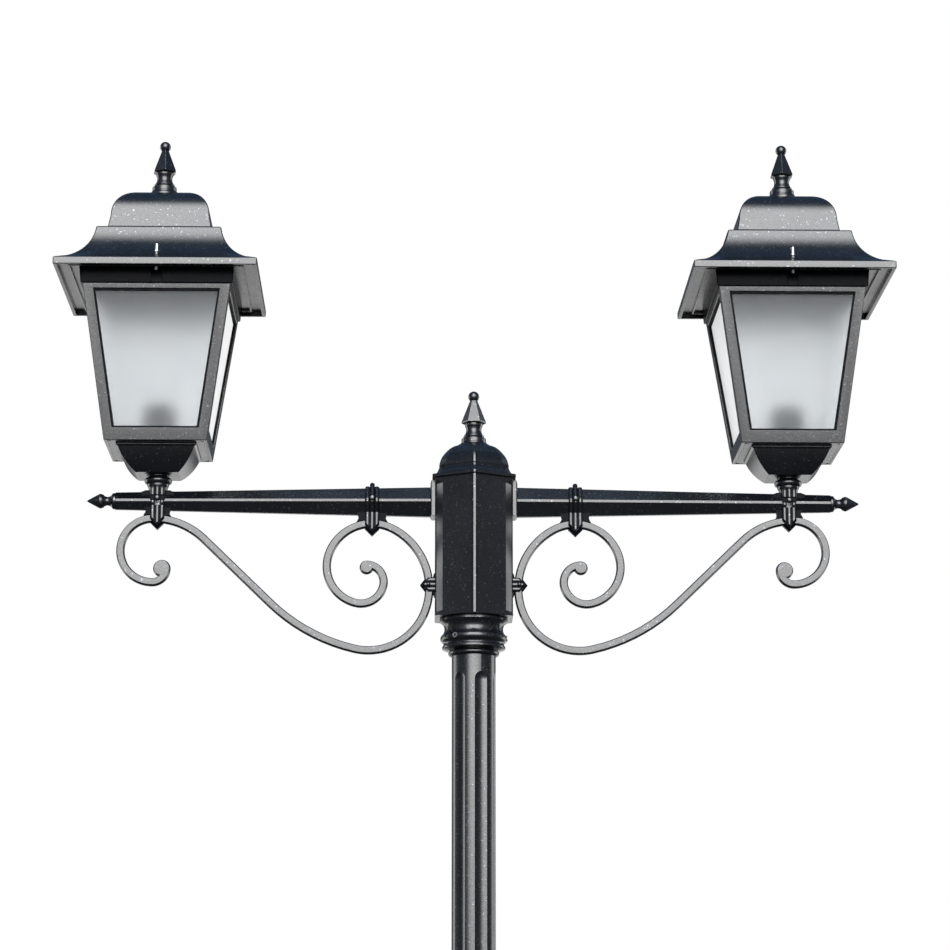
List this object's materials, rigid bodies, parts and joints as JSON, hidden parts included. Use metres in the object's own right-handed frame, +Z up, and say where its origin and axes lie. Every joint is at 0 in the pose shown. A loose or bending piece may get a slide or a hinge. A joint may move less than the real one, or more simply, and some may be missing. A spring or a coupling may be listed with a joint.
{
  "type": "street lamp post",
  "caption": "Cast street lamp: hexagonal pedestal, fluted post and a hexagonal head whose scrolled arms carry square tapered lanterns with frosted glass.",
  "frame": {"origin": "centre of the base flange on the ground", "axes": "+Z up along the post, arms along X, the front towards -Y, access door on +X"},
  "size_m": [0.9568, 0.2308, 2.2022],
  "materials": {
    "dark_paint": "satin textured",
    "steel_fixings": "satin",
    "frosted_glass": "frosted",
    "opal_bulb": "gloss",
    "black_rubber": "matt",
    "black_bakelite": "gloss",
    "ceramic_white": "gloss",
    "brass": "satin"
  },
  "bodies": {
    "post": {"base_casting": "dark_paint", "base_screws": "steel_fixings", "fluted_post": "dark_paint", "terminal_board": "steel_fixings", "board_screws": "steel_fixings", "terminal_block": "ceramic_white", "earth_stud": "brass", "feed_cable": "black_rubber", "door_hinge_pin": "steel_fixings"},
    "door": {"access_door": "dark_paint"},
    "door_lock": {"door_lock": "steel_fixings"},
    "head": {"head_collar": "dark_paint", "collar_screws": "steel_fixings", "head_casting": "dark_paint", "head_cap": "dark_paint", "head_finial": "dark_paint", "tie_rod": "steel_fixings", "arm_left": "dark_paint", "arm_right": "dark_paint", "arm_screws": "steel_fixings", "arm_cables": "black_rubber", "scroll_left": "dark_paint", "scroll_right": "dark_paint", "outer_ties": "dark_paint", "middle_ties": "dark_paint", "head_ties": "dark_paint"},
    "lantern_left": {"stem_left": "dark_paint", "nipple_left": "steel_fixings", "stem_nut_left": "steel_fixings", "cup_left": "dark_paint", "frame_left": "dark_paint", "frame_screws_left": "steel_fixings", "glass_left": "frosted_glass", "seals_left": "black_rubber", "lampholder_left": "black_bakelite", "lamp_wires_left": "black_rubber"},
    "roof_body_left": {"roof_left": "dark_paint", "roof_finial_left": "dark_paint", "roof_screws_left": "steel_fixings"},
    "bulb_body_left": {"bulb_left": "opal_bulb"},
    "lantern_right": {"stem_right": "dark_paint", "nipple_right": "steel_fixings", "stem_nut_right": "steel_fixings", "cup_right": "dark_paint", "frame_right": "dark_paint", "frame_screws_right": "steel_fixings", "glass_right": "frosted_glass", "seals_right": "black_rubber", "lampholder_right": "black_bakelite", "lamp_wires_right": "black_rubber"},
    "roof_body_right": {"roof_right": "dark_paint", "roof_finial_right": "dark_paint", "roof_screws_right": "steel_fixings"},
    "bulb_body_right": {"bulb_right": "opal_bulb"}
  },
  "joints": [
    {"name": "head_swivel", "type": "hinge", "parent": "post", "child": "head", "pos_m": [0, 0, 1.61], "axis": [0, 0, 1], "range_deg": [-90, 90]},
    {"name": "door_hinge", "type": "hinge", "parent": "post", "child": "door", "pos_m": [0.0594, 0.029, 0.14], "axis": [0, 0, 1], "range_deg": [0, 110]},
    {"name": "door_lock_turn", "type": "hinge", "parent": "door", "child": "door_lock", "pos_m": [0.056, -0.012, 0.14], "axis": [1, 0, 0], "range_deg": [-90, 0]},
    {"name": "lantern_left_swivel", "type": "hinge", "parent": "head", "child": "lantern_left", "pos_m": [-0.363, 0, 1.782], "axis": [0, 0, 1], "range_deg": [-45, 45]},
    {"name": "lantern_right_swivel", "type": "hinge", "parent": "head", "child": "lantern_right", "pos_m": [0.363, 0, 1.782], "axis": [0, 0, 1], "range_deg": [-45, 45]},
    {"name": "roof_left_lift", "type": "slide", "parent": "lantern_left", "child": "roof_body_left", "axis": [0, 0, 1], "range_m": [0, 0.12]},
    {"name": "roof_right_lift", "type": "slide", "parent": "lantern_right", "child": "roof_body_right", "axis": [0, 0, 1], "range_m": [0, 0.12]},
    {"name": "bulb_left_turn", "type": "hinge", "parent": "lantern_left", "child": "bulb_body_left", "pos_m": [-0.363, 0, 1.926], "axis": [0, 0, 1], "continuous": true},
    {"name": "bulb_right_turn", "type": "hinge", "parent": "lantern_right", "child": "bulb_body_right", "pos_m": [0.363, 0, 1.926], "axis": [0, 0, 1], "continuous": true}
  ]
}
